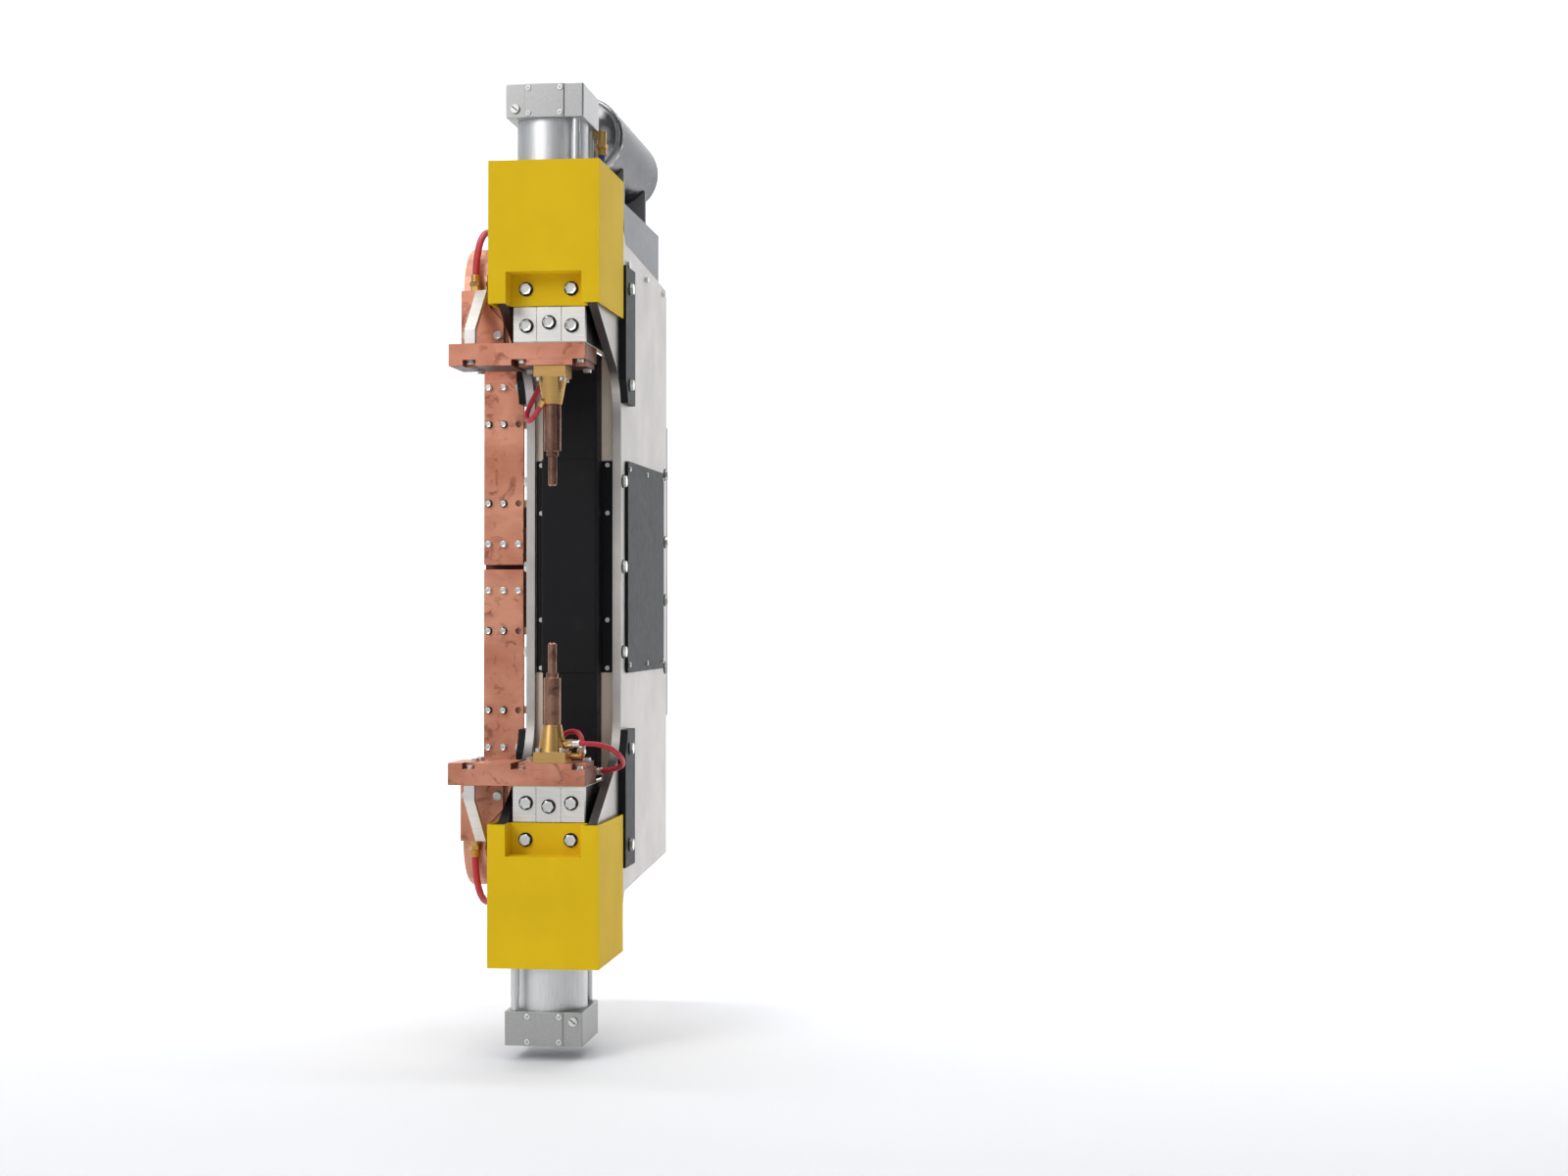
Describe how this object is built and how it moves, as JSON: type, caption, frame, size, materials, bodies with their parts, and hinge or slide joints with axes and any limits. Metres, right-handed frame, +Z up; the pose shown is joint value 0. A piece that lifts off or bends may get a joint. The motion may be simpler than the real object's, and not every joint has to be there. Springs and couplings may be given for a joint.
{
  "type": "c-frame spot welder",
  "caption": "Stationary resistance spot welder with a C-frame, opposed pneumatic rams, copper arms, laminated bands, sheet covers and an air tank.",
  "frame": {"origin": "centre of the back face of the rear mounting plate, on the mid-plane of the throat", "axes": "+X to the operator's right, +Y out of the back of the mounting plate, +Z up along both rams"},
  "size_m": [0.3151, 0.78, 1.754],
  "materials": {
    "cheek_aluminium": "milled aluminium plate",
    "milled_aluminium": "bright milled aluminium with diagonal marks",
    "anodised_aluminium": "satin anodised",
    "black_paint": "black powder coat",
    "grey_paint": "grey paint",
    "yellow_paint": "yellow powder coat",
    "transformer_resin": "dark red potting resin",
    "copper": "milled copper with stains",
    "dark_copper": "brown oxidised copper",
    "brass": "turned brass",
    "steel": "zinc-plated steel",
    "black_steel": "blackened steel",
    "polished_steel": "polished stainless steel",
    "insulation": "cream laminate",
    "red_rubber": "red water hose",
    "blue_tube": "blue air tube"
  },
  "bodies": {
    "frame": {"air_fittings": "brass", "air_tank": "polished_steel", "bus_bolts": "steel", "bus_plates": "copper", "bus_spacer_bars": "insulation", "cylinder_blocks": "anodised_aluminium", "cylinder_tubes": "anodised_aluminium", "frame_bolts": "steel", "frame_webs": "milled_aluminium", "front_plates": "black_steel", "guide_carriages": "steel", "head_fittings": "anodised_aluminium", "left_cheek": "cheek_aluminium", "lower_air_hose": "blue_tube", "lower_cover": "yellow_paint", "lower_flex_band": "copper", "lower_water_hose_1": "red_rubber", "lower_water_hose_2": "red_rubber", "panel_screws": "steel", "rear_plate": "grey_paint", "right_cheek": "cheek_aluminium", "side_panel": "black_paint", "stiffener_plates": "black_paint", "tank_supports": "grey_paint", "throat_box": "black_paint", "throat_cover": "black_paint", "transformer": "transformer_resin", "upper_air_hose": "blue_tube", "upper_cover": "yellow_paint", "upper_flex_band": "copper", "upper_water_hose_1": "red_rubber", "upper_water_hose_2": "red_rubber", "water_manifolds": "brass"},
    "upper_ram": {"upper_ram_block": "milled_aluminium", "upper_slide": "black_steel", "upper_piston": "steel", "upper_insulating_sheet": "insulation", "upper_arm": "copper", "upper_electrode_plate": "copper", "upper_electrode_holder": "brass", "upper_electrode": "dark_copper", "upper_terminal": "copper", "upper_brace_strap": "milled_aluminium", "upper_ram_bolts": "steel", "upper_ram_fittings": "brass", "upper_electrode_hose": "red_rubber"},
    "lower_ram": {"lower_ram_block": "milled_aluminium", "lower_slide": "black_steel", "lower_piston": "steel", "lower_insulating_sheet": "insulation", "lower_arm": "copper", "lower_electrode_plate": "copper", "lower_electrode_holder": "brass", "lower_electrode": "dark_copper", "lower_terminal": "copper", "lower_brace_strap": "milled_aluminium", "lower_ram_bolts": "steel", "lower_ram_fittings": "brass", "lower_electrode_hose": "red_rubber", "lower_cooling_hose": "red_rubber"}
  },
  "joints": [
    {"name": "upper_stroke", "type": "slide", "parent": "frame", "child": "upper_ram", "axis": [0, 0, -1], "range_m": [0, 0.138], "deforming": ["upper_flex_band", "upper_water_hose_1", "upper_water_hose_2"]},
    {"name": "lower_stroke", "type": "slide", "parent": "frame", "child": "lower_ram", "axis": [0, 0, 1], "range_m": [0, 0.138], "deforming": ["lower_flex_band", "lower_water_hose_1", "lower_water_hose_2"]}
  ]
}
